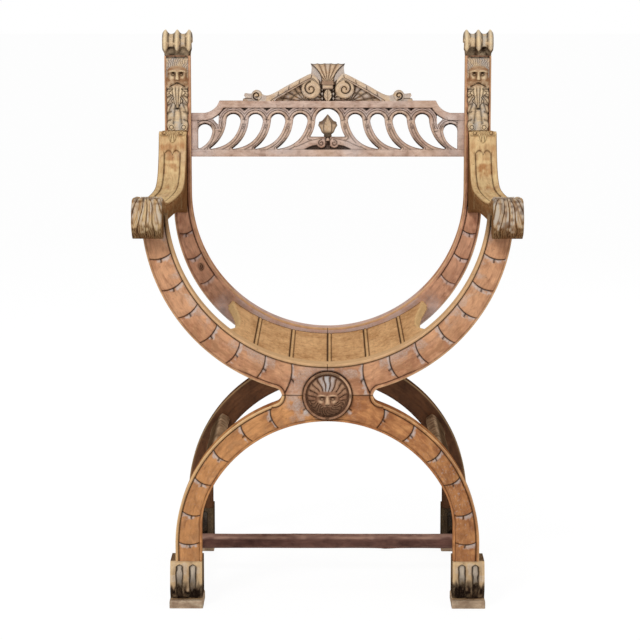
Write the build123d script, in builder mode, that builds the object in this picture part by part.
"""Savonarola armchair in carved walnut, with two curved X-frames.

Sizes are in millimetres. +Z is up, the chair faces -Y, and left and right are as seen from the front.
The origin is on the floor, under the middle of the chair's box. Each frame is four curved members that meet
at the crossing: two upper arcs that form a U, and two legs that form an arch. The rear arcs run up into the
back posts. Nothing folds: the stretcher, the seat boards and the back panel fix the frames open.
"""

import os
from math import acos, atan2, cos, degrees, radians, sin, sqrt

from build123d import *

os.makedirs("parts", exist_ok=True)

# ---------------------------------------------------------------- overall sizes
frame_spacing = 420.0  # front face of the front frame to front face of the rear frame
overall_height = 1006.0  # floor to the top of the post caps
crossing_height = 382.0  # floor to the joint between the upper arcs and the legs

# ---------------------------------------------------------------- frame members
frame_thickness = 38.0  # of both frames, along Y
crossing_rise = 55.0  # depth of the U at its lowest point
crossing_drop = 46.5  # depth of the leg arch at its highest point
front_inner_radius = 280.0  # top of the front U
front_band = 44.0  # by how much the radius of its underside is larger
front_tip_drop = 6.5  # ends of the front arcs, below the centre of that underside's curve
rear_inner_radius = 260.0  # top of the rear U, and half the gap between the posts
rear_band = 33.0
leg_inner_radius = 232.5
leg_band = 36.5
leg_haunch_radius = 150.0  # tighter curve that brings the inside of a leg to the vertical
leg_straighten = 10.0  # how far inside its main curve's widest point a leg then stands
notch_radius = 15.0  # round end of the slot between an upper arc and a leg
post_width = 49.0
post_flare_rise = 105.0  # from the centre of the rear U's underside to where a post's outside is straight

# ---------------------------------------------------------------- feet
foot_height = 83.0
foot_inner_lip = 0.5  # how far a foot stands inside its leg
foot_outer_lip = 9.5
foot_toe = 12.0  # how far a foot stands in front of its leg
foot_heel = 28.0  # how far a foot stands behind its leg
foot_shoulder = 5.0  # radius of its upper back edge
foot_swell_lift = 4.0  # most forward point of its front, above half its height
leg_tenon_length = 34.0
pad_height = 14.0
pad_lip = 1.5
pad_corner = 3.0
pad_edge = 2.5

# ---------------------------------------------------------------- seat
seat_sink = 10.0  # seat surface below the top of the front U
seat_board_thickness = 14.0
seat_joint_angles = (0.0, 13.6, 26.9)  # board joints, from straight down, on each side
seat_end_angle = 38.8
seat_waist = 19.0  # how far the seat's end is hollowed at the middle
seat_corner = 34.0  # straight part of that end, next to each frame
board_gap = 0.6
housing_depth = 8.0  # how far the boards run into each frame

# ---------------------------------------------------------------- arms
arm_width = 53.0
arm_post_overhang = 33.5  # middle of an arm outside the post's inner face, at the post
arm_tip_inset = 13.5  # middle of an arm inside the front U's widest point, at the scroll
arm_post_rise = 115.0  # arm's top at the post, above the tips of the front arcs
arm_post_drop = 40.0  # its underside at the post, below them
arm_ledge = 14.0  # depth of the arm's top end, in front of the post
arm_swoop = 130.0  # length of the rise to the post
arm_swoop_lift = 5.0  # foot of that rise, above the lowest part
arm_swoop_middle = (22.0, 62.0)  # a point on it: in front of the ledge, below its top
arm_rest_rise = 10.0  # lowest part of the arm's top, above the tips
arm_thickness = 28.0
scroll_reach = 60.0  # how far the scrolls stand in front of the front frame
scroll_radius = 35.5
scroll_drop = 2.5  # centre of the scroll, below the tips

# ---------------------------------------------------------------- post caps and masks
cap_radius = 24.5
cap_width = 56.0
cap_groove = 4.0  # depth of the two hollows between its three reeds
cap_front_reach = 14.0  # how far a cap stands in front of its post
mask_width = 41.5
mask_depth = 14.0
mask_gap = 1.0  # between a mask and the cap above it or the arm below it

# ---------------------------------------------------------------- rails and stretcher
leg_rail_elevation = 34.5  # where the upper side rails sit on the leg arch, in degrees
leg_rail_thickness = 22.0
leg_rail_width = 40.0
floor_rail_thickness = 18.0
floor_rail_bottom = 42.0
floor_rail_width = 36.0
floor_rail_offset = 5.0  # outside the middle of the legs
floor_rail_housing = 16.0  # how far it runs into each front foot
floor_rail_clearance = 2.5  # between its back end and the tenon of the rear leg
stretcher_bottom = 52.0
stretcher_height = 25.0
stretcher_depth = 32.0
stretcher_tenon = 12.0
stretcher_edge = 2.0
tenon_share = 0.55  # of the rail's own section
rail_tenon = 14.0

# ---------------------------------------------------------------- back panel and crest
panel_thickness = 20.0
panel_setback = 9.0  # front of the panel behind the front of the posts
panel_lift = 68.5  # underside of the panel, above the place where the rear U runs into the posts
panel_end_height = 82.0
panel_middle_height = 105.5
panel_rail = 13.3  # height of its top and bottom rails
panel_stile = 12.8
panel_shoulder_in = 54.0  # end of the raised middle part, from the post
panel_shoulder_out = 26.0  # where the shoulder's curve starts, from the post
panel_tenon = 12.0
opening_count = 4  # tall openings on each side
opening_first = 52.2  # middle of the first opening, from the middle of the chair
opening_last = 80.5  # middle of the last tall opening, from the post
opening_radius = 13.8
opening_drop = 25.0  # top of the panel's middle part to the top of an opening
opening_sweep = 44.4  # middle of an opening's head to its pointed foot
opening_tip = 1.6  # width of that foot
inside_bulge = 14.5  # of the long side of an opening
outside_bulge = 7.0  # of its short side
end_bulge = 6.0  # of the end opening's sloping side
center_bulge = 2.0  # of the middle opening's sides
shoulder_bulge = 5.0  # of the curve between the end and the raised middle part
end_opening_radius = 13.8
end_opening_drop = 44.5
center_arch_radius = 23.7
center_sill = 23.5  # foot of the middle opening above the bottom rail
center_splay = 10.2  # how much wider it is on each side at its foot
pierce_width = 12.5  # of the small triangle in the shoulder
pierce_height = 20.0
pierce_drop = 2.0  # its upper corner, below the heads of the openings
pierce_tilt = 8.0  # its outer corner, below the upper one
crest_thickness = 12.0
crest_ground_thickness = 8.0
crest_volute_radius = 17.7
crest_volute_x = 32.0
crest_volute_lift = 22.6  # centre of the large volute above the panel
crest_curl_radius = 10.4
crest_curl_x = 135.0
crest_end_x = 161.5
crest_end_height = 14.7
crest_end_slope = 4.0
crest_rake_start = (14.5, 46.0)  # upper inner end of the raking mould: distance out, height above the panel
crest_rake_crown = (33.5, 51.0)
crest_rake_middle = (74.0, 30.5)
crest_rake_end = (114.0, 10.3)
crest_rake_depth = 12.8
shell_top_lift = 71.0  # top of the shell above the panel
shell_half_width = 32.5
shell_neck_lift = 45.0
shell_neck_half_width = 10.5
shell_stem_lift = 36.5
shell_stem_half_width = 13.5
bud_height = 43.0
bud_radius = 15.0
bud_foot_radius = 7.0

# ---------------------------------------------------------------- medallion and pegs
medallion_radius = 43.0
medallion_ring_width = 6.0
medallion_recess = 3.0  # how far it is let into the frame
medallion_floor = 4.0  # floor inside the ring, in front of the frame
medallion_ring_rise = 4.0  # ring in front of that floor
dome_gap = 1.5  # between the ring and the head
dome_height = 17.0  # of the head above the floor
peg_radius = 5.0
small_peg_radius = 4.0
panel_peg_radius = 3.0
peg_length = 56.0
peg_setback = 3.0  # pegs of the X-frames, in front of the middle of the frame
arm_tip_peg_length = 28.0
arm_back_peg_length = 26.0
cap_peg_length = 36.0
short_peg_length = 16.0
medallion_peg_sink = 4.0  # middle of that peg, behind the medallion's back
crest_peg_spacing = 60.0
glue_gap = 0.1  # around every peg and tenon
end_gap = 1.0  # past the end of every peg and tenon

# ---------------------------------------------------------------- places that follow from the sizes
overall_depth = scroll_reach + frame_spacing + frame_thickness + foot_heel + pad_lip
front_y = -overall_depth / 2 + scroll_reach
rear_y = front_y + frame_spacing
front_back_y = front_y + frame_thickness
rear_back_y = rear_y + frame_thickness
clear_depth = rear_y - front_back_y

u_bottom = crossing_height + crossing_rise
front_outer_radius = front_inner_radius + front_band
rear_outer_radius = rear_inner_radius + rear_band
leg_outer_radius = leg_inner_radius + leg_band
front_outer_center = crossing_height + front_outer_radius
front_inner_center = u_bottom + front_inner_radius
rear_outer_center = crossing_height + rear_outer_radius
rear_inner_center = u_bottom + rear_inner_radius
leg_outer_center = crossing_height - leg_outer_radius
leg_inner_center = crossing_height - crossing_drop - leg_inner_radius
seat_radius = front_inner_radius + seat_sink
seat_under_radius = seat_radius + seat_board_thickness

front_tip_height = front_outer_center - front_tip_drop
post_flare_height = rear_outer_center + post_flare_rise
leg_inner_half_gap = leg_inner_radius - leg_straighten

foot_inner_x = leg_inner_half_gap - foot_inner_lip
foot_outer_x = leg_outer_radius + foot_outer_lip
foot_middle_x = (foot_inner_x + foot_outer_x) / 2
leg_tenon_x = (leg_inner_half_gap + leg_outer_radius) / 2
floor_rail_x = leg_tenon_x + floor_rail_offset
floor_rail_start = front_back_y + foot_heel - floor_rail_housing
floor_rail_end = rear_y + frame_thickness * (1 - tenon_share) / 2 - floor_rail_clearance
floor_rail_length = floor_rail_end - floor_rail_start
floor_rail_middle = (floor_rail_start + floor_rail_end) / 2
stretcher_middle = (front_y + rear_back_y) / 2
stretcher_middle_z = stretcher_bottom + stretcher_height / 2

post_inner_x = rear_inner_radius
post_outer_half_width = post_inner_x + post_width
post_middle_x = post_inner_x + post_width / 2
arm_peg_x = (rear_inner_radius + rear_outer_radius) / 2
cap_center_height = overall_height - cap_radius
post_top = cap_center_height - cap_radius
panel_y = rear_y + panel_setback
panel_bottom = rear_inner_center + panel_lift
panel_top = panel_bottom + panel_middle_height
opening_pitch = (post_inner_x - opening_last - opening_first) / (opening_count - 1)
scroll_y = front_y - scroll_reach + scroll_radius
scroll_center_height = front_tip_height - scroll_drop
arm_rear_center = post_inner_x + arm_post_overhang
arm_front_center = front_outer_radius - arm_tip_inset
arm_post_height = front_tip_height + arm_post_rise
arm_post_foot = front_tip_height - arm_post_drop
arm_rest_height = front_tip_height + arm_rest_rise


def facing(y):
    """A sketch plane at depth y that looks the way the chair faces: its own x and y are X and Z."""
    return Plane.XZ.offset(-y)


def below(radius, center, angle):
    """A point on a circle round (0, center), at an angle from straight down."""
    return (radius * sin(radians(angle)), center - radius * cos(radians(angle)))


def above(radius, center, angle):
    """The same, from straight up."""
    return (radius * sin(radians(angle)), center + radius * cos(radians(angle)))


def arc(place, radius, center, start, end):
    """The stretch of a circle between two angles, as below() or above() counts them."""
    middle = (start + end) / 2
    ThreePointArc(*(place(radius, center, a) for a in (start, middle, end)))


def notch_center(upper_radius):
    """Centre of the circle that touches the underside of an upper arc and the top of a leg."""
    upper_center = crossing_height + upper_radius
    to_upper = upper_radius + notch_radius
    to_leg = leg_outer_radius + notch_radius
    span = upper_center - leg_outer_center
    z = leg_outer_center + (to_leg**2 - to_upper**2 + span**2) / (2 * span)
    return sqrt(to_leg**2 - (z - leg_outer_center) ** 2), z


def notch_points(upper_radius):
    """Where the notch meets the joint line, the upper arc and the leg, with points between them."""
    x, z = notch_center(upper_radius)
    reach = sqrt(notch_radius**2 - (crossing_height - z) ** 2)
    on_joint = (x - reach, crossing_height)
    up = degrees(atan2(x, crossing_height + upper_radius - z))
    down = degrees(atan2(x, z - leg_outer_center))
    joint_angle = 180 - degrees(atan2(crossing_height - z, reach))

    def between(angle):
        lean = radians((joint_angle + angle) / 2)
        return (x + notch_radius * cos(lean), z + notch_radius * sin(lean))

    return on_joint, between(90 + up), up, between(270 - down), down


def pegs(places, radius, mode=Mode.ADD, extra=0.0):
    """Round pegs or their holes. A place is (point on the joint, direction, length)."""
    for point, direction, length in places:
        with Locations(Plane(origin=point, z_dir=direction)):
            Cylinder(radius, length + 2 * extra, mode=mode)


def peg_holes(places, radius):
    pegs(places, radius + glue_gap, Mode.SUBTRACT, end_gap)


def save(part, name):
    part.label = name
    export_step(part, f"parts/{name}.step")


def save_pair(part, name):
    """Writes a right-hand piece and its mirror image."""
    save(part, f"{name}_right")
    with BuildPart() as left:
        add(mirror(part, about=Plane.YZ))
    save(left.part, f"{name}_left")


# ---------------------------------------------------------------- where the pegs go
def frame_pegs(face_y):
    """Pegs that hold one X-frame together. Half of them are on each side of the joints."""
    peg_y = face_y + frame_thickness / 2 - peg_setback
    upper_z = crossing_height + crossing_rise * 0.3
    lower_z = crossing_height - crossing_drop * 0.5
    along = [((0, peg_y, z), (1, 0, 0), peg_length) for z in (upper_z, lower_z)]
    side_x = peg_length * 0.85
    upright = [((s * side_x, peg_y, crossing_height), (0, 0, 1), peg_length * 0.7) for s in (-1, 1)]
    return along + upright


def arm_pegs(side):
    """One peg down into the front arc, and two back into the post."""
    tip_x = (front_outer_radius + front_inner_radius) / 2
    tip = ((side * tip_x, front_y + frame_thickness / 2, front_tip_height), (0, 0, 1), arm_tip_peg_length)
    rise = arm_post_height - arm_post_foot
    back = [
        ((side * arm_peg_x, rear_y, arm_post_foot + rise * share), (0, 1, 0), arm_back_peg_length)
        for share in (0.25, 0.72)
    ]
    return [tip] + back


def cap_pegs(side):
    return [((side * post_middle_x, rear_y + frame_thickness / 2, post_top), (0, 0, 1), cap_peg_length)]


medallion_peg_y = front_y + medallion_recess + medallion_peg_sink
medallion_peg = [((0, medallion_peg_y, crossing_height), (0, 1, 0), short_peg_length)]
sill_height = panel_bottom + panel_rail + center_sill
crest_peg_y = panel_y + crest_thickness + crest_ground_thickness / 2
bud_peg = [((0, panel_y + panel_thickness / 2, sill_height), (0, 0, 1), short_peg_length)]
crest_pegs = [
    ((side * crest_peg_spacing, crest_peg_y, panel_top), (0, 0, 1), short_peg_length) for side in (-1, 0, 1)
]
panel_pegs = bud_peg + crest_pegs


# ---------------------------------------------------------------- the X-frames
def seat_housing():
    """Outline of the curved groove that the seat boards stand in."""
    low, high = seat_radius - glue_gap, seat_under_radius + glue_gap
    end = seat_end_angle + 0.5
    with BuildLine() as outline:
        arc(below, low, front_inner_center, 0, end)
        Line(below(low, front_inner_center, end), below(high, front_inner_center, end))
        arc(below, high, front_inner_center, end, 0)
        Line(below(high, front_inner_center, 0), below(low, front_inner_center, 0))
    return outline.edges()


def upper_arc_foot(outer_radius):
    """The lines of an upper arc's lower end, from the outside curve round the notch to the middle."""
    on_joint, to_arc, up, _, _ = notch_points(outer_radius)
    ThreePointArc(below(outer_radius, crossing_height + outer_radius, up), to_arc, on_joint)
    Line(on_joint, (0, crossing_height))
    Line((0, crossing_height), (0, u_bottom))
    return up


with BuildPart() as front_arc:
    outer_tip = degrees(acos((front_outer_center - front_tip_height) / front_outer_radius))
    inner_tip = degrees(acos((front_inner_center - front_tip_height) / front_inner_radius))
    with BuildSketch(facing(front_y)):
        with BuildLine():
            arc(below, front_inner_radius, front_inner_center, 0, inner_tip)
            Line(
                below(front_inner_radius, front_inner_center, inner_tip),
                below(front_outer_radius, front_outer_center, outer_tip),
            )
            foot_angle = notch_points(front_outer_radius)[2]
            arc(below, front_outer_radius, front_outer_center, outer_tip, foot_angle)
            upper_arc_foot(front_outer_radius)
        make_face()
    extrude(amount=-frame_thickness)
    with BuildSketch(facing(front_back_y)):
        make_face(seat_housing())
    extrude(amount=housing_depth + end_gap, mode=Mode.SUBTRACT)
    with BuildSketch(facing(front_y)):
        with Locations((0, crossing_height)):
            Circle(medallion_radius + glue_gap)
    extrude(amount=-medallion_recess, mode=Mode.SUBTRACT)
    peg_holes(frame_pegs(front_y), peg_radius)
    peg_holes(arm_pegs(1)[:1], small_peg_radius)
    peg_holes(medallion_peg, peg_radius)
save_pair(front_arc.part, "front_arc")

with BuildPart() as rear_arc:
    with BuildSketch(facing(rear_y)):
        with BuildLine():
            arc(below, rear_inner_radius, rear_inner_center, 0, 90)
            Line((post_inner_x, rear_inner_center), (post_inner_x, post_top))
            Line((post_inner_x, post_top), (post_outer_half_width, post_top))
            Line((post_outer_half_width, post_top), (post_outer_half_width, post_flare_height))
            Spline(
                (post_outer_half_width, post_flare_height),
                (rear_outer_radius, rear_outer_center),
                tangents=[(0, -1), (0, -1)],
            )
            arc(below, rear_outer_radius, rear_outer_center, 90, notch_points(rear_outer_radius)[2])
            upper_arc_foot(rear_outer_radius)
        make_face()
    extrude(amount=-frame_thickness)
    with BuildSketch(facing(rear_y)):
        make_face(seat_housing())
    extrude(amount=-housing_depth - end_gap, mode=Mode.SUBTRACT)
    with BuildSketch(Plane.YZ.offset(post_inner_x)):
        with Locations((panel_y + panel_thickness / 2, panel_bottom + panel_end_height / 2)):
            tenon_height = panel_end_height - 2 * panel_rail
            Rectangle(panel_thickness * tenon_share + 2 * glue_gap, tenon_height + 2 * glue_gap)
    extrude(amount=panel_tenon + end_gap, mode=Mode.SUBTRACT)
    peg_holes(frame_pegs(rear_y), peg_radius)
    peg_holes(arm_pegs(1)[1:], small_peg_radius)
    peg_holes(cap_pegs(1), small_peg_radius)
save_pair(rear_arc.part, "rear_arc")


def leg_rail_place():
    """The middle of an upper side rail, half way through the leg."""
    tilt = radians(leg_rail_elevation)
    inner = (leg_inner_radius * cos(tilt), leg_inner_center + leg_inner_radius * sin(tilt))
    outer = (leg_outer_radius * cos(tilt), leg_outer_center + leg_outer_radius * sin(tilt))
    return ((inner[0] + outer[0]) / 2, (inner[1] + outer[1]) / 2)


leg_tenon_width = (leg_outer_radius - leg_inner_half_gap) * tenon_share
leg_tenon_depth = frame_thickness * tenon_share


def build_leg(face_y, rail_face_y, rail_into):
    """A right-hand leg, with its tenon for the foot and its mortise for the upper side rail."""
    with BuildPart() as leg:
        upper_radius = front_outer_radius if face_y == front_y else rear_outer_radius
        on_joint, _, _, to_leg, down = notch_points(upper_radius)
        haunch_x = leg_inner_half_gap - leg_haunch_radius
        lean = leg_inner_radius - leg_haunch_radius
        haunch_z = leg_inner_center + sqrt(lean**2 - haunch_x**2)
        turn = degrees(atan2(haunch_x, haunch_z - leg_inner_center))
        with BuildSketch(facing(face_y)):
            with BuildLine():
                Line((0, crossing_height - crossing_drop), (0, crossing_height))
                Line((0, crossing_height), on_joint)
                ThreePointArc(on_joint, to_leg, above(leg_outer_radius, leg_outer_center, down))
                arc(above, leg_outer_radius, leg_outer_center, down, 90)
                Line((leg_outer_radius, leg_outer_center), (leg_outer_radius, foot_height))
                Line((leg_outer_radius, foot_height), (leg_inner_half_gap, foot_height))
                Line((leg_inner_half_gap, foot_height), (leg_inner_half_gap, haunch_z))
                middle = radians((turn + 90) / 2)
                ThreePointArc(
                    (leg_inner_half_gap, haunch_z),
                    (haunch_x + leg_haunch_radius * sin(middle), haunch_z + leg_haunch_radius * cos(middle)),
                    above(leg_inner_radius, leg_inner_center, turn),
                )
                arc(above, leg_inner_radius, leg_inner_center, turn, 0)
            make_face()
        extrude(amount=-frame_thickness)
        with Locations((leg_tenon_x, face_y + frame_thickness / 2, foot_height)):
            Box(leg_tenon_width, leg_tenon_depth, leg_tenon_length, align=(Align.CENTER, Align.CENTER, Align.MAX))
        with BuildSketch(facing(rail_face_y)):
            with Locations(leg_rail_place()):
                Rectangle(
                    leg_rail_thickness * tenon_share + 2 * glue_gap,
                    leg_rail_width * tenon_share + 2 * glue_gap,
                    rotation=leg_rail_elevation,
                )
        extrude(amount=rail_into * (rail_tenon + end_gap), mode=Mode.SUBTRACT)
        peg_holes(frame_pegs(face_y), peg_radius)
        if face_y == front_y:
            with BuildSketch(facing(front_y)):
                with Locations((0, crossing_height)):
                    Circle(medallion_radius + glue_gap)
            extrude(amount=-medallion_recess, mode=Mode.SUBTRACT)
            peg_holes(medallion_peg, peg_radius)
    return leg.part


save_pair(build_leg(front_y, front_back_y, 1), "front_leg")
save_pair(build_leg(rear_y, rear_y, -1), "rear_leg")

for frame_name, face_y in (("front", front_y), ("rear", rear_y)):
    with BuildPart() as dowels:
        pegs(frame_pegs(face_y), peg_radius)
    save(dowels.part, f"{frame_name}_frame_dowels")


# ---------------------------------------------------------------- feet, pads and low rails
def build_foot(face_y):
    """A right-hand scroll foot: it swells forward under the leg, and curls in again over its pad."""
    heel_y = face_y + frame_thickness + foot_heel
    with BuildPart() as foot:
        with BuildSketch(Plane.YZ.offset(foot_inner_x)):
            with BuildLine():
                Line((face_y, foot_height), (heel_y - foot_shoulder, foot_height))
                shoulder_y, shoulder_z = heel_y - foot_shoulder, foot_height - foot_shoulder
                diagonal = foot_shoulder * sqrt(0.5)
                ThreePointArc(
                    (shoulder_y, foot_height), (shoulder_y + diagonal, shoulder_z + diagonal), (heel_y, shoulder_z)
                )
                Line((heel_y, foot_height - foot_shoulder), (heel_y, pad_height))
                Line((heel_y, pad_height), (face_y + foot_toe * 0.2, pad_height))
                Spline(
                    (face_y + foot_toe * 0.2, pad_height),
                    (face_y - foot_toe, (foot_height + pad_height) / 2 + foot_swell_lift),
                    (face_y, foot_height),
                    tangents=[(-1, 0.6), (0.25, 1)],
                )
            make_face()
        extrude(amount=foot_outer_x - foot_inner_x)
        with Locations((leg_tenon_x, face_y + frame_thickness / 2, foot_height)):
            Box(
                leg_tenon_width + 2 * glue_gap,
                leg_tenon_depth + 2 * glue_gap,
                leg_tenon_length + end_gap,
                align=(Align.CENTER, Align.CENTER, Align.MAX),
                mode=Mode.SUBTRACT,
            )
        with Locations((floor_rail_x, floor_rail_middle, floor_rail_bottom - glue_gap)):
            Box(
                floor_rail_thickness + 2 * glue_gap,
                floor_rail_length + 2 * end_gap,
                floor_rail_width + 2 * glue_gap,
                align=(Align.CENTER, Align.CENTER, Align.MIN),
                mode=Mode.SUBTRACT,
            )
    return foot.part


def build_pad(face_y):
    """The plinth that a foot stands on."""
    depth = foot_toe * 0.8 + frame_thickness + foot_heel + 2 * pad_lip
    with BuildPart() as pad:
        with BuildSketch():
            with Locations((foot_middle_x, face_y - foot_toe * 0.8 - pad_lip + depth / 2)):
                RectangleRounded(foot_outer_x - foot_inner_x + 2 * pad_lip, depth, pad_corner)
        extrude(amount=pad_height)
        fillet(pad.edges().group_by(Axis.Z)[-1], pad_edge)
    return pad.part


for frame_name, face_y in (("front", front_y), ("rear", rear_y)):
    save_pair(build_foot(face_y), f"{frame_name}_foot")
    save_pair(build_pad(face_y), f"{frame_name}_foot_pad")

with BuildPart() as floor_rail:
    with Locations((floor_rail_x, floor_rail_middle, floor_rail_bottom)):
        Box(
            floor_rail_thickness,
            floor_rail_length,
            floor_rail_width,
            align=(Align.CENTER, Align.CENTER, Align.MIN),
        )
    with Locations((floor_rail_x - floor_rail_thickness / 2, stretcher_middle, stretcher_middle_z)):
        Box(
            stretcher_tenon + end_gap,
            stretcher_depth * tenon_share + 2 * glue_gap,
            stretcher_height * tenon_share + 2 * glue_gap,
            align=(Align.MIN, Align.CENTER, Align.CENTER),
            mode=Mode.SUBTRACT,
        )
save_pair(floor_rail.part, "floor_side_rail")

with BuildPart() as stretcher:
    with Locations((0, stretcher_middle, stretcher_middle_z)):
        Box(2 * floor_rail_x - floor_rail_thickness, stretcher_depth, stretcher_height)
        Box(
            2 * floor_rail_x - floor_rail_thickness + 2 * stretcher_tenon,
            stretcher_depth * tenon_share,
            stretcher_height * tenon_share,
        )
    fillet(stretcher.edges().filter_by(Axis.X).group_by(SortBy.LENGTH)[-1], stretcher_edge)
save(stretcher.part, "cross_stretcher")

with BuildPart() as leg_rail:
    with BuildSketch(facing(rear_y)):
        with Locations(leg_rail_place()):
            Rectangle(leg_rail_thickness, leg_rail_width, rotation=leg_rail_elevation)
    extrude(amount=clear_depth)
    with BuildSketch(facing(rear_y + rail_tenon)):
        with Locations(leg_rail_place()):
            Rectangle(leg_rail_thickness * tenon_share, leg_rail_width * tenon_share, rotation=leg_rail_elevation)
    extrude(amount=clear_depth + 2 * rail_tenon)
save_pair(leg_rail.part, "leg_side_rail")


# ---------------------------------------------------------------- seat
def joint_line(angle):
    Line(below(seat_radius, front_inner_center, angle), below(seat_under_radius, front_inner_center, angle))


def build_board(start, end, hollow_end):
    """A seat board between two angles. An outermost board has its outer end hollowed in plan."""
    length = clear_depth + 2 * housing_depth
    gap_angle = degrees(board_gap / 2 / seat_radius)
    first = start + gap_angle
    last = end - (0 if hollow_end else gap_angle)
    with BuildPart() as board:
        with BuildSketch(facing(rear_y + housing_depth)):
            with BuildLine():
                arc(below, seat_radius, front_inner_center, first, last)
                joint_line(last)
                arc(below, seat_under_radius, front_inner_center, last, first)
                joint_line(first)
            make_face()
        extrude(amount=length)
        if hollow_end:
            edge_x = below(seat_radius, front_inner_center, seat_end_angle)[0]
            middle_y = (front_back_y + rear_y) / 2
            with BuildSketch():
                with BuildLine():
                    ThreePointArc(
                        (edge_x, front_back_y + seat_corner),
                        (edge_x - seat_waist, middle_y),
                        (edge_x, rear_y - seat_corner),
                    )
                    Polyline(
                        (edge_x, rear_y - seat_corner),
                        (2 * edge_x, rear_y - seat_corner),
                        (2 * edge_x, front_back_y + seat_corner),
                        (edge_x, front_back_y + seat_corner),
                    )
                make_face()
            extrude(amount=overall_height, mode=Mode.SUBTRACT)
    return board.part


seat_angles = [*seat_joint_angles, seat_end_angle]
for number, (start, end) in enumerate(zip(seat_angles, seat_angles[1:]), 1):
    save_pair(build_board(start, end, end == seat_end_angle), f"seat_board_{number}")

# ---------------------------------------------------------------- arms
with BuildPart() as arm:
    scroll_top = (scroll_y, scroll_center_height + scroll_radius)
    swoop_foot = (rear_y - arm_swoop, arm_rest_height + arm_swoop_lift)
    to_frame = front_y - scroll_y
    scroll_meets_frame = (front_y, scroll_center_height - sqrt(scroll_radius**2 - to_frame**2))
    scroll_middle = radians((90 + 360 - degrees(acos(to_frame / scroll_radius))) / 2)
    with BuildSketch(Plane.YZ.offset(arm_rear_center - 2 * arm_width)):
        with BuildLine():
            Spline(
                (rear_y - arm_ledge, arm_post_height),
                (rear_y - arm_ledge - arm_swoop_middle[0], arm_post_height - arm_swoop_middle[1]),
                swoop_foot,
                tangents=[(-0.12, -1), (-1, -0.08)],
            )
            Spline(
                swoop_foot,
                (front_back_y + clear_depth * 0.3, arm_rest_height),
                scroll_top,
                tangents=[(-1, -0.08), (-1, 0)],
            )
            ThreePointArc(
                scroll_top,
                (
                    scroll_y + scroll_radius * cos(scroll_middle),
                    scroll_center_height + scroll_radius * sin(scroll_middle),
                ),
                scroll_meets_frame,
            )
            Polyline(scroll_meets_frame, (front_y, front_tip_height), (front_back_y, front_tip_height))
            Spline(
                (front_back_y, front_tip_height),
                (front_back_y + clear_depth * 0.12, arm_rest_height - arm_thickness),
                (front_back_y + clear_depth * 0.62, arm_rest_height - arm_thickness),
                (rear_y, arm_post_foot),
                tangents=[(0.3, -1), (0.85, -0.5)],
            )
            Polyline((rear_y, arm_post_foot), (rear_y, arm_post_height), (rear_y - arm_ledge, arm_post_height))
        make_face()
    extrude(amount=4 * arm_width)
    with BuildSketch():
        front_edge = scroll_y - scroll_radius
        half = arm_width / 2
        with BuildLine():
            Spline(
                (arm_front_center - half, front_edge),
                (arm_front_center - half, front_back_y),
                (arm_rear_center - half, rear_y),
                tangents=[(0, 1), (0, 1)],
            )
            Line((arm_rear_center - half, rear_y), (arm_rear_center + half, rear_y))
            Spline(
                (arm_rear_center + half, rear_y),
                (arm_front_center + half, front_back_y),
                (arm_front_center + half, front_edge),
                tangents=[(0, -1), (0, -1)],
            )
            Line((arm_front_center + half, front_edge), (arm_front_center - half, front_edge))
        make_face()
    extrude(amount=overall_height, mode=Mode.INTERSECT)
    peg_holes(arm_pegs(1), small_peg_radius)
save_pair(arm.part, "arm")

with BuildPart() as arm_dowels:
    pegs(arm_pegs(1) + arm_pegs(-1), small_peg_radius)
save(arm_dowels.part, "arm_dowels")

# ---------------------------------------------------------------- post caps and masks
with BuildPart() as cap:
    cap_y = rear_y - cap_front_reach + cap_radius
    cap_start = post_middle_x - cap_width / 2
    reed = cap_width / 3
    with BuildSketch(Plane.XY.offset(cap_center_height)):
        with BuildLine():
            Line((cap_start, cap_y), (cap_start, cap_y - cap_radius + cap_groove))
            for number in range(3):
                edge = cap_start + number * reed
                ThreePointArc(
                    (edge, cap_y - cap_radius + cap_groove),
                    (edge + reed / 2, cap_y - cap_radius),
                    (edge + reed, cap_y - cap_radius + cap_groove),
                )
            Line((cap_start + cap_width, cap_y - cap_radius + cap_groove), (cap_start + cap_width, cap_y))
            Line((cap_start + cap_width, cap_y), (cap_start, cap_y))
        make_face()
    revolve(axis=Axis((cap_start, cap_y, cap_center_height), (1, 0, 0)))
    with Locations((post_middle_x, rear_y + frame_thickness / 2, post_top)):
        Box(
            post_outer_half_width - post_inner_x,
            frame_thickness,
            cap_radius,
            align=(Align.CENTER, Align.CENTER, Align.MIN),
        )
    peg_holes(cap_pegs(1), small_peg_radius)
save_pair(cap.part, "post_cap")

with BuildPart() as cap_dowels:
    pegs(cap_pegs(1) + cap_pegs(-1), small_peg_radius)
save(cap_dowels.part, "post_cap_dowels")

with BuildPart() as mask:
    mask_bottom = arm_post_height + mask_gap
    mask_top = post_top - mask_gap
    with BuildSketch(Plane.YZ.offset(post_middle_x - mask_width / 2)):
        with BuildLine():
            Polyline(
                (rear_y - mask_depth * 0.4, mask_bottom),
                (rear_y, mask_bottom),
                (rear_y, mask_top),
                (rear_y - mask_depth * 0.45, mask_top),
            )
            Spline(
                (rear_y - mask_depth * 0.45, mask_top),
                (rear_y - mask_depth, mask_top - (mask_top - mask_bottom) * 0.35),
                (rear_y - mask_depth * 0.6, mask_top - (mask_top - mask_bottom) * 0.75),
                (rear_y - mask_depth * 0.4, mask_bottom),
            )
        make_face()
    extrude(amount=mask_width)
save_pair(mask.part, "mask_panel")


# ---------------------------------------------------------------- back panel
opening_head_z = panel_top - opening_drop - opening_radius
opening_foot_z = panel_bottom + panel_rail


def bulged(start, end, bulge):
    """An arc between two points. Its middle stands off to the left of the way by the bulge."""
    run = (end[0] - start[0], end[1] - start[1])
    share = bulge / sqrt(run[0] ** 2 + run[1] ** 2)
    middle = ((start[0] + end[0]) / 2 - run[1] * share, (start[1] + end[1]) / 2 + run[0] * share)
    ThreePointArc(start, middle, end)


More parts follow.
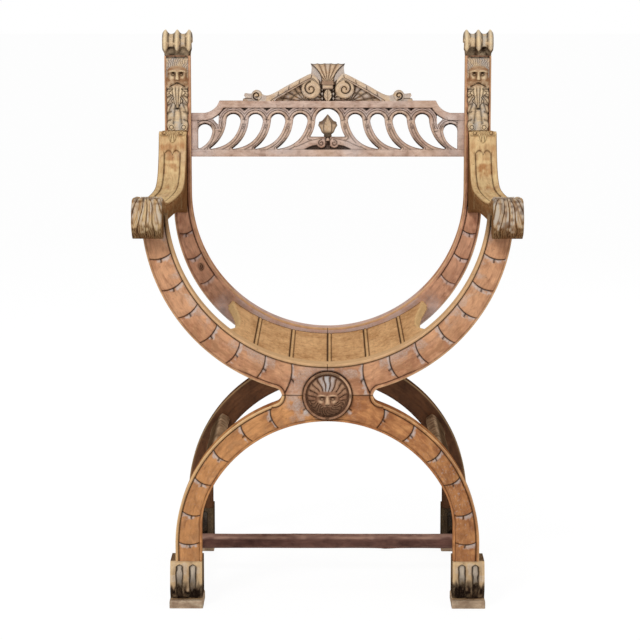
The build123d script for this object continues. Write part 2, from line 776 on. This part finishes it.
def tall_opening(middle_x):
    """A round head and a tail that sweeps outward and down to a narrow foot."""
    left, right = middle_x - opening_radius, middle_x + opening_radius
    foot = middle_x + opening_sweep
    with BuildLine() as outline:
        ThreePointArc((left, opening_head_z), (middle_x, opening_head_z + opening_radius), (right, opening_head_z))
        bulged((right, opening_head_z), (foot, opening_foot_z + opening_tip), -outside_bulge)
        Line((foot, opening_foot_z + opening_tip), (foot, opening_foot_z))
        bulged((foot, opening_foot_z), (left, opening_head_z), inside_bulge)
    return outline.edges()


def end_opening():
    """The small opening beside the post, with a straight outer side."""
    outer = post_inner_x - panel_stile
    inner = outer - 2 * end_opening_radius
    head_z = panel_top - end_opening_drop - end_opening_radius
    with BuildLine() as outline:
        ThreePointArc((inner, head_z), (inner + end_opening_radius, head_z + end_opening_radius), (outer, head_z))
        Line((outer, head_z), (outer, opening_foot_z))
        bulged((outer, opening_foot_z), (inner, head_z), end_bulge)
    return outline.edges()


def shoulder_piercing():
    """The small triangle between the last two openings and the shoulder."""
    inner = opening_first + (opening_count - 1) * opening_pitch + 2 * opening_radius
    top = panel_top - opening_drop - pierce_drop
    with BuildLine() as outline:
        Polyline((inner, top), (inner + pierce_width, top - pierce_tilt), (inner + 1, top - pierce_height), close=True)
    return outline.edges()


with BuildPart() as panel:
    shoulder_in = post_inner_x - panel_shoulder_in
    shoulder_out = post_inner_x - panel_shoulder_out
    end_z = panel_bottom + panel_end_height
    with BuildSketch(facing(panel_y)):
        with BuildLine():
            Polyline((0, panel_bottom), (post_inner_x, panel_bottom), (post_inner_x, end_z), (shoulder_out, end_z))
            bulged((shoulder_out, end_z), (shoulder_in, panel_top), shoulder_bulge)
            Polyline((shoulder_in, panel_top), (0, panel_top), (0, panel_bottom))
        make_face()
        mirror(about=Plane.YZ)
    extrude(amount=-panel_thickness)
    with BuildSketch(facing(panel_y)):
        for number in range(opening_count):
            make_face(tall_opening(opening_first + number * opening_pitch))
        make_face(end_opening())
        make_face(shoulder_piercing())
        mirror(about=Plane.YZ)
        with BuildLine():
            half, low_half = center_arch_radius, center_arch_radius + center_splay
            ThreePointArc((-half, opening_head_z), (0, opening_head_z + half), (half, opening_head_z))
            bulged((half, opening_head_z), (low_half, sill_height), -center_bulge)
            Line((low_half, sill_height), (-low_half, sill_height))
            bulged((-low_half, sill_height), (-half, opening_head_z), -center_bulge)
        make_face()
    extrude(amount=-panel_thickness, mode=Mode.SUBTRACT)
    with Locations((0, panel_y + panel_thickness / 2, panel_bottom + panel_end_height / 2)):
        for side in (-1, 1):
            with Locations((side * (post_inner_x + panel_tenon / 2), 0, 0)):
                Box(panel_tenon, panel_thickness * tenon_share, panel_end_height - 2 * panel_rail)
    peg_holes(panel_pegs, panel_peg_radius)
save(panel.part, "back_panel")

with BuildPart() as bud:
    bud_y = panel_y + panel_thickness / 2
    with BuildSketch(facing(bud_y)):
        with BuildLine():
            Line((0, sill_height), (bud_foot_radius, sill_height))
            Spline(
                (bud_foot_radius, sill_height),
                (bud_radius, sill_height + bud_height * 0.5),
                (bud_radius * 0.55, sill_height + bud_height * 0.93),
                (0, sill_height + bud_height),
                tangents=[(0.6, 1), (-1, 0)],
            )
            Line((0, sill_height + bud_height), (0, sill_height))
        make_face()
    revolve(axis=Axis((0, bud_y, sill_height), (0, 0, 1)))
    peg_holes(bud_peg, panel_peg_radius)
save(bud.part, "panel_bud")

with BuildPart() as panel_dowels:
    pegs(panel_pegs, panel_peg_radius)
save(panel_dowels.part, "panel_dowels")


# ---------------------------------------------------------------- crest
def on_crest(point, lower=0.0):
    return (point[0], panel_top + point[1] - lower)


with BuildPart() as crest_ground:
    half_depth = crest_rake_depth / 2
    with BuildSketch(facing(panel_y + crest_thickness)):
        with BuildLine():
            Line((0, panel_top), (crest_rake_end[0] - crest_rake_depth, panel_top))
            Line((crest_rake_end[0] - crest_rake_depth, panel_top), on_crest(crest_rake_middle, half_depth))
            Line(on_crest(crest_rake_middle, half_depth), on_crest(crest_rake_crown, half_depth))
            Line(on_crest(crest_rake_crown, half_depth), on_crest(crest_rake_start, half_depth))
            Line(on_crest(crest_rake_start, half_depth), on_crest((0, crest_rake_start[1]), half_depth))
            Line(on_crest((0, crest_rake_start[1]), half_depth), (0, panel_top))
        make_face()
        mirror(about=Plane.YZ)
    extrude(amount=-crest_ground_thickness)
    peg_holes(crest_pegs, panel_peg_radius)
save(crest_ground.part, "crest_ground")

with BuildPart() as crest_scroll:
    with BuildSketch(facing(panel_y + crest_thickness)):
        with BuildLine():
            Spline(
                on_crest(crest_rake_start),
                on_crest(crest_rake_crown),
                on_crest(crest_rake_middle),
                on_crest(crest_rake_end),
                (crest_curl_x, panel_top + 2 * crest_curl_radius),
            )
            Line((crest_curl_x, panel_top + 2 * crest_curl_radius), (crest_curl_x, panel_top))
            Line((crest_curl_x, panel_top), (crest_rake_end[0] - crest_rake_depth * 0.8, panel_top))
            Spline(
                (crest_rake_end[0] - crest_rake_depth * 0.8, panel_top),
                on_crest(crest_rake_middle, crest_rake_depth),
                on_crest(crest_rake_crown, crest_rake_depth),
                on_crest(crest_rake_start, crest_rake_depth * 0.6),
            )
            Line(on_crest(crest_rake_start, crest_rake_depth * 0.6), on_crest(crest_rake_start))
        make_face()
        with Locations((crest_volute_x, panel_top + crest_volute_lift)):
            Circle(crest_volute_radius)
        with Locations((crest_curl_x, panel_top + crest_curl_radius)):
            Circle(crest_curl_radius)
        with BuildLine():
            Polyline(
                (crest_curl_x, panel_top),
                (crest_end_x, panel_top),
                (crest_end_x - crest_end_slope, panel_top + crest_end_height),
                (crest_curl_x, panel_top + crest_end_height),
                close=True,
            )
        make_face()
    extrude(amount=crest_thickness)
save_pair(crest_scroll.part, "crest_scroll")

with BuildPart() as shell:
    with BuildSketch(facing(panel_y + crest_thickness)):
        with BuildLine():
            Polyline(
                (0, panel_top), (shell_stem_half_width, panel_top), (shell_stem_half_width, panel_top + shell_stem_lift)
            )
            Spline(
                (shell_stem_half_width, panel_top + shell_stem_lift),
                (shell_neck_half_width, panel_top + shell_neck_lift),
                (shell_half_width, panel_top + shell_top_lift),
                tangents=[(-0.6, 1), (1, 0.8)],
            )
            Line((shell_half_width, panel_top + shell_top_lift), (0, panel_top + shell_top_lift))
            Line((0, panel_top + shell_top_lift), (0, panel_top))
        make_face()
        mirror(about=Plane.YZ)
    extrude(amount=crest_thickness)
save(shell.part, "crest_shell")

# ---------------------------------------------------------------- medallion
with BuildPart() as medallion:
    with BuildSketch(facing(front_y + medallion_recess)):
        with Locations((0, crossing_height)):
            Circle(medallion_radius)
    extrude(amount=medallion_recess + medallion_floor)
    with BuildSketch(facing(front_y - medallion_floor)):
        with Locations((0, crossing_height)):
            Circle(medallion_radius)
            Circle(medallion_radius - medallion_ring_width, mode=Mode.SUBTRACT)
    extrude(amount=medallion_ring_rise)
    peg_holes(medallion_peg, peg_radius)
save(medallion.part, "medallion_ground")

with BuildPart() as head:
    floor_y = front_y - medallion_floor
    dome_radius = medallion_radius - medallion_ring_width - dome_gap
    with BuildSketch(Plane.XY.offset(crossing_height)):
        with BuildLine():
            Line((0, floor_y), (dome_radius, floor_y))
            Spline((dome_radius, floor_y), (0, floor_y - dome_height), tangents=[(0, -1), (-1, 0)])
            Line((0, floor_y - dome_height), (0, floor_y))
        make_face()
    revolve(axis=Axis((0, floor_y, crossing_height), (0, 1, 0)))
save(head.part, "medallion_head")

with BuildPart() as medallion_dowel:
    pegs(medallion_peg, peg_radius)
save(medallion_dowel.part, "medallion_dowel")
